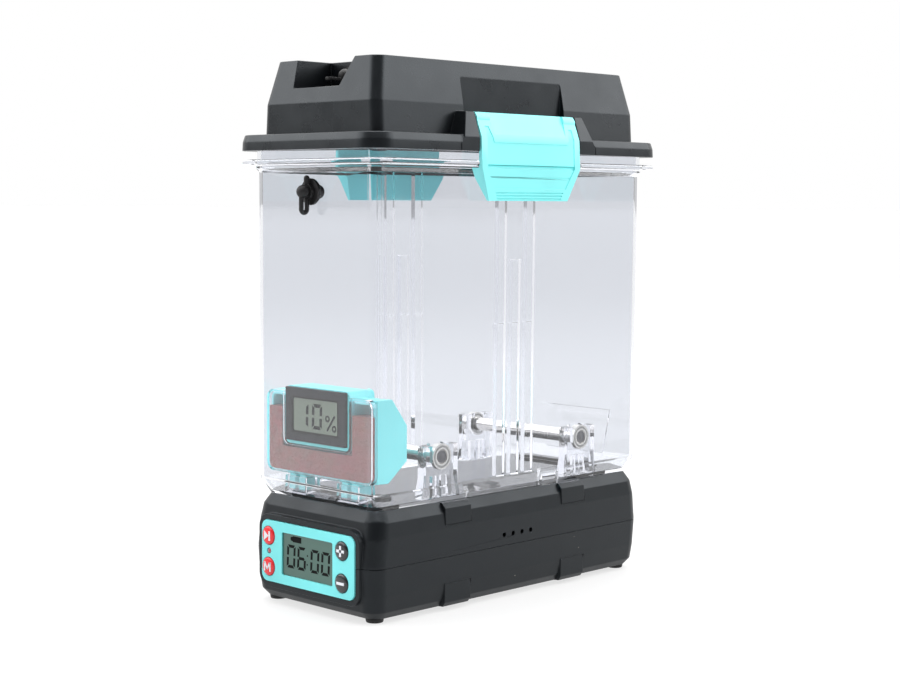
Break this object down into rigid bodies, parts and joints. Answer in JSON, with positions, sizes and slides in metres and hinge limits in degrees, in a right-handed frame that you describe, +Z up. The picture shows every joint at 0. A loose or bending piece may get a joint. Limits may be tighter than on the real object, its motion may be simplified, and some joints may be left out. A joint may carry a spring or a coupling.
{
  "type": "filament dryer box",
  "caption": "Clear upright storage box for a spool of printer filament, with a latched lid, steel rollers and a heated base that dries it.",
  "frame": {"origin": "bottom centre of the object's box, on the surface that the rubber feet stand on", "axes": "+Z up, -Y towards the control panel at the front, +X to the right side seen from the front"},
  "size_m": [0.1164, 0.2333, 0.293],
  "materials": {
    "shell_black": "textured black ABS, satin",
    "lid_black": "textured charcoal ABS, satin",
    "clear_plastic": "polished clear polycarbonate with a faint lavender tint",
    "clear_inner": "clear polycarbonate, slightly hazy",
    "teal_plastic": "satin turquoise plastic",
    "teal_panel": "smooth turquoise panel",
    "red_button": "smooth red with a white symbol",
    "black_button": "smooth black with a white symbol",
    "lcd_glass": "grey-green reflective liquid crystal",
    "gauge_black": "dark grey moulded case",
    "rubber_black": "soft matt rubber",
    "gasket_grey": "soft silicone",
    "steel": "ground bearing steel",
    "chrome_steel": "polished bearing steel",
    "screw_steel": "zinc-plated screw",
    "shield_metal": "pressed shield",
    "gel_beads": "silica gel beads, dusty rose",
    "circuit_green": "solder-masked board",
    "duct_grey": "heat-resistant moulded plastic",
    "fan_black": "moulded fan plastic",
    "heater_aluminium": "finned aluminium",
    "wire_red": "sleeved lead",
    "led_red": "tinted lamp lens",
    "cutout_metal": "thermal cut-out can"
  },
  "bodies": {
    "dock": {"base_lower_shell": "shell_black", "base_upper_shell": "shell_black", "rubber_feet": "rubber_black", "base_screws": "screw_steel", "panel_bezel": "teal_panel", "display_window": "lcd_glass", "display_module": "gauge_black", "status_led": "led_red", "control_board": "circuit_green", "tact_switches": "gauge_black", "blower_housing": "fan_black", "blower_cover": "fan_black", "inlet_duct": "duct_grey", "heater_duct": "duct_grey", "heater_core": "heater_aluminium", "thermal_cutout": "cutout_metal", "port_seals": "rubber_black", "power_jack": "gauge_black", "wire_harness": "wire_red"},
    "button_play": {"button_play": "red_button"},
    "button_mode": {"button_mode": "red_button"},
    "button_plus": {"button_plus": "black_button"},
    "button_minus": {"button_minus": "black_button"},
    "blower_rotor": {"blower_impeller": "fan_black"},
    "container": {"container_shell": "clear_plastic", "bearing_posts": "clear_inner", "bearing_outer_rings": "chrome_steel", "bearing_shields": "shield_metal", "bearing_balls": "chrome_steel", "case_clips": "clear_inner", "outlet_grommet": "rubber_black"},
    "outlet_stopper": {"outlet_stopper": "rubber_black"},
    "roller_front": {"shaft_front": "steel", "inner_rings_front": "chrome_steel"},
    "roller_rear": {"shaft_rear": "steel", "inner_rings_rear": "chrome_steel"},
    "desiccant": {"desiccant_case": "teal_plastic", "desiccant_cover": "clear_inner", "desiccant_beads": "gel_beads", "hygrometer_body": "gauge_black", "hygrometer_display": "lcd_glass", "hygrometer_cell": "screw_steel"},
    "lid": {"lid_shell": "lid_black", "lid_gasket": "gasket_grey", "lid_grommet": "rubber_black", "latch_pin_right": "screw_steel", "latch_pin_left": "screw_steel"},
    "lid_stopper": {"lid_stopper": "rubber_black"},
    "latch_right": {"latch_right": "teal_plastic"},
    "latch_left": {"latch_left": "teal_plastic"}
  },
  "joints": [
    {"name": "container_lift", "type": "slide", "parent": "dock", "child": "container", "axis": [0, 0, 1], "range_m": [0, 0.12]},
    {"name": "lid_lift", "type": "slide", "parent": "container", "child": "lid", "axis": [0, 0, 1], "range_m": [0, 0.24]},
    {"name": "latch_right_hinge", "type": "hinge", "parent": "lid", "child": "latch_right", "pos_m": [0.0502, 0, 0.2622], "axis": [0, -1, 0], "range_deg": [0, 105]},
    {"name": "latch_left_hinge", "type": "hinge", "parent": "lid", "child": "latch_left", "pos_m": [-0.0502, 0, 0.2622], "axis": [0, 1, 0], "range_deg": [0, 105]},
    {"name": "roller_front_spin", "type": "hinge", "parent": "container", "child": "roller_front", "pos_m": [0, -0.055, 0.083], "axis": [1, 0, 0], "continuous": true},
    {"name": "roller_rear_spin", "type": "hinge", "parent": "container", "child": "roller_rear", "pos_m": [0, 0.059, 0.083], "axis": [1, 0, 0], "continuous": true},
    {"name": "desiccant_lift", "type": "slide", "parent": "container", "child": "desiccant", "axis": [0, 0, 1], "range_m": [0, 0.09]},
    {"name": "outlet_stopper_pull", "type": "slide", "parent": "container", "child": "outlet_stopper", "axis": [0, -1, 0], "range_m": [0, 0.015]},
    {"name": "lid_stopper_pull", "type": "slide", "parent": "lid", "child": "lid_stopper", "axis": [0, -1, 0], "range_m": [0, 0.015]},
    {"name": "button_play_press", "type": "slide", "parent": "dock", "child": "button_play", "axis": [0, 1, 0], "range_m": [0, 0.0008], "stiffness_N_per_m": 600, "springref_m": -0.0002},
    {"name": "button_mode_press", "type": "slide", "parent": "dock", "child": "button_mode", "axis": [0, 1, 0], "range_m": [0, 0.0008], "stiffness_N_per_m": 600, "springref_m": -0.0002},
    {"name": "button_plus_press", "type": "slide", "parent": "dock", "child": "button_plus", "axis": [0, 1, 0], "range_m": [0, 0.0008], "stiffness_N_per_m": 600, "springref_m": -0.0002},
    {"name": "button_minus_press", "type": "slide", "parent": "dock", "child": "button_minus", "axis": [0, 1, 0], "range_m": [0, 0.0008], "stiffness_N_per_m": 600, "springref_m": -0.0002},
    {"name": "blower_spin", "type": "hinge", "parent": "dock", "child": "blower_rotor", "pos_m": [0, -0.008, 0], "axis": [0, 0, 1], "continuous": true}
  ]
}
